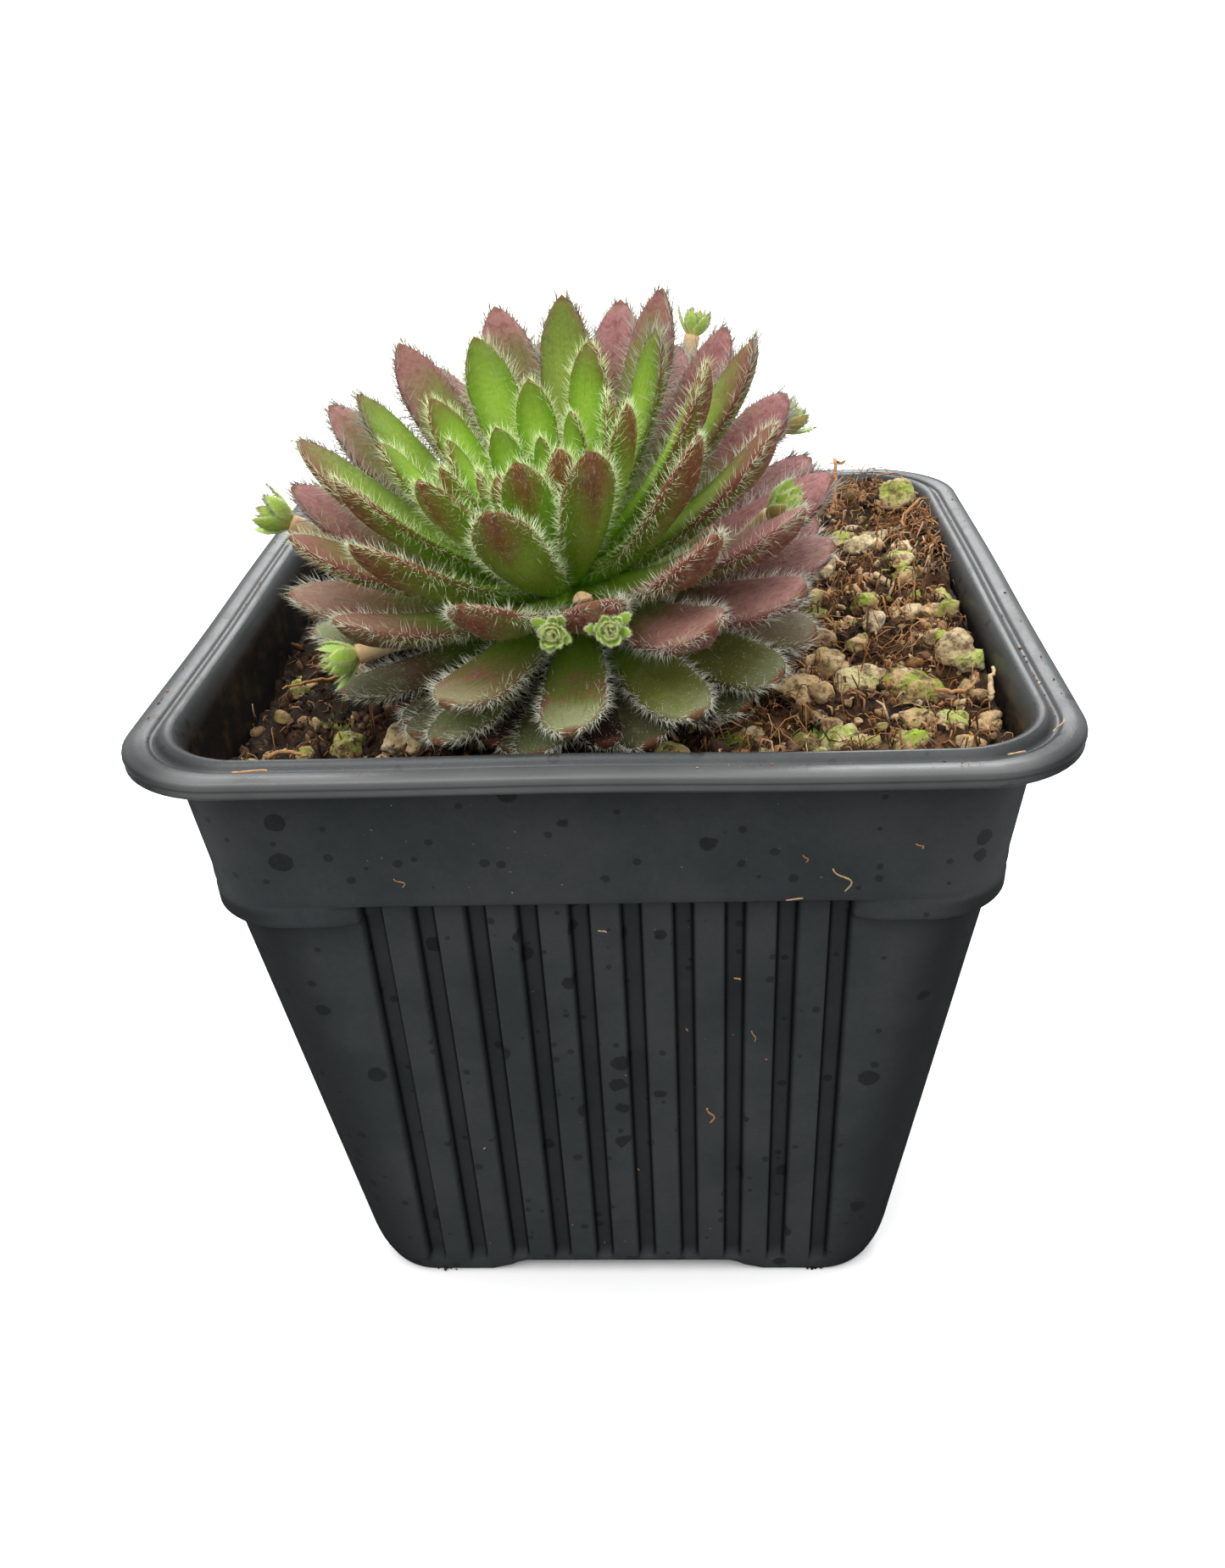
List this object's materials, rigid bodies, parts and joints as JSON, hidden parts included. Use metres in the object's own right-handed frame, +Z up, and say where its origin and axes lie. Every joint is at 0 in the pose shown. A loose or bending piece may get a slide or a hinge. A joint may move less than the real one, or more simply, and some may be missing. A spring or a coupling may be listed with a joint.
{
  "type": "potted hens and chicks succulent",
  "caption": "Hairy rosette succulent with young chicks on runners, growing in gritty soil in a square ribbed nursery pot that stands on its own.",
  "frame": {"origin": "middle of the pot, on the plane that its four feet stand on", "axes": "+Z up, the front of the pot faces -Y, the sides of the pot run along X and Y"},
  "size_m": [0.09, 0.09, 0.1106],
  "materials": {
    "pot_plastic": "satin charcoal polypropylene with water spots and specks of dirt",
    "soil": "loose brown peat and coir with buff and green grit",
    "hen_leaf": "fleshy green leaf with burgundy tips and white hairs",
    "runner": "thin tan and green runner with fine hairs",
    "chick_leaf": "lime green young leaf with short hairs"
  },
  "bodies": {
    "root": {"pot": "pot_plastic", "soil": "soil", "hen_rosette": "hen_leaf", "runner_1": "runner", "runner_2": "runner", "runner_3": "runner", "runner_4": "runner", "runner_5": "runner", "runner_6": "runner", "runner_7": "runner", "chick_1": "chick_leaf", "chick_2": "chick_leaf", "chick_3": "chick_leaf", "chick_4": "chick_leaf", "chick_5": "chick_leaf", "chick_6": "chick_leaf", "chick_7": "chick_leaf"}
  },
  "joints": []
}
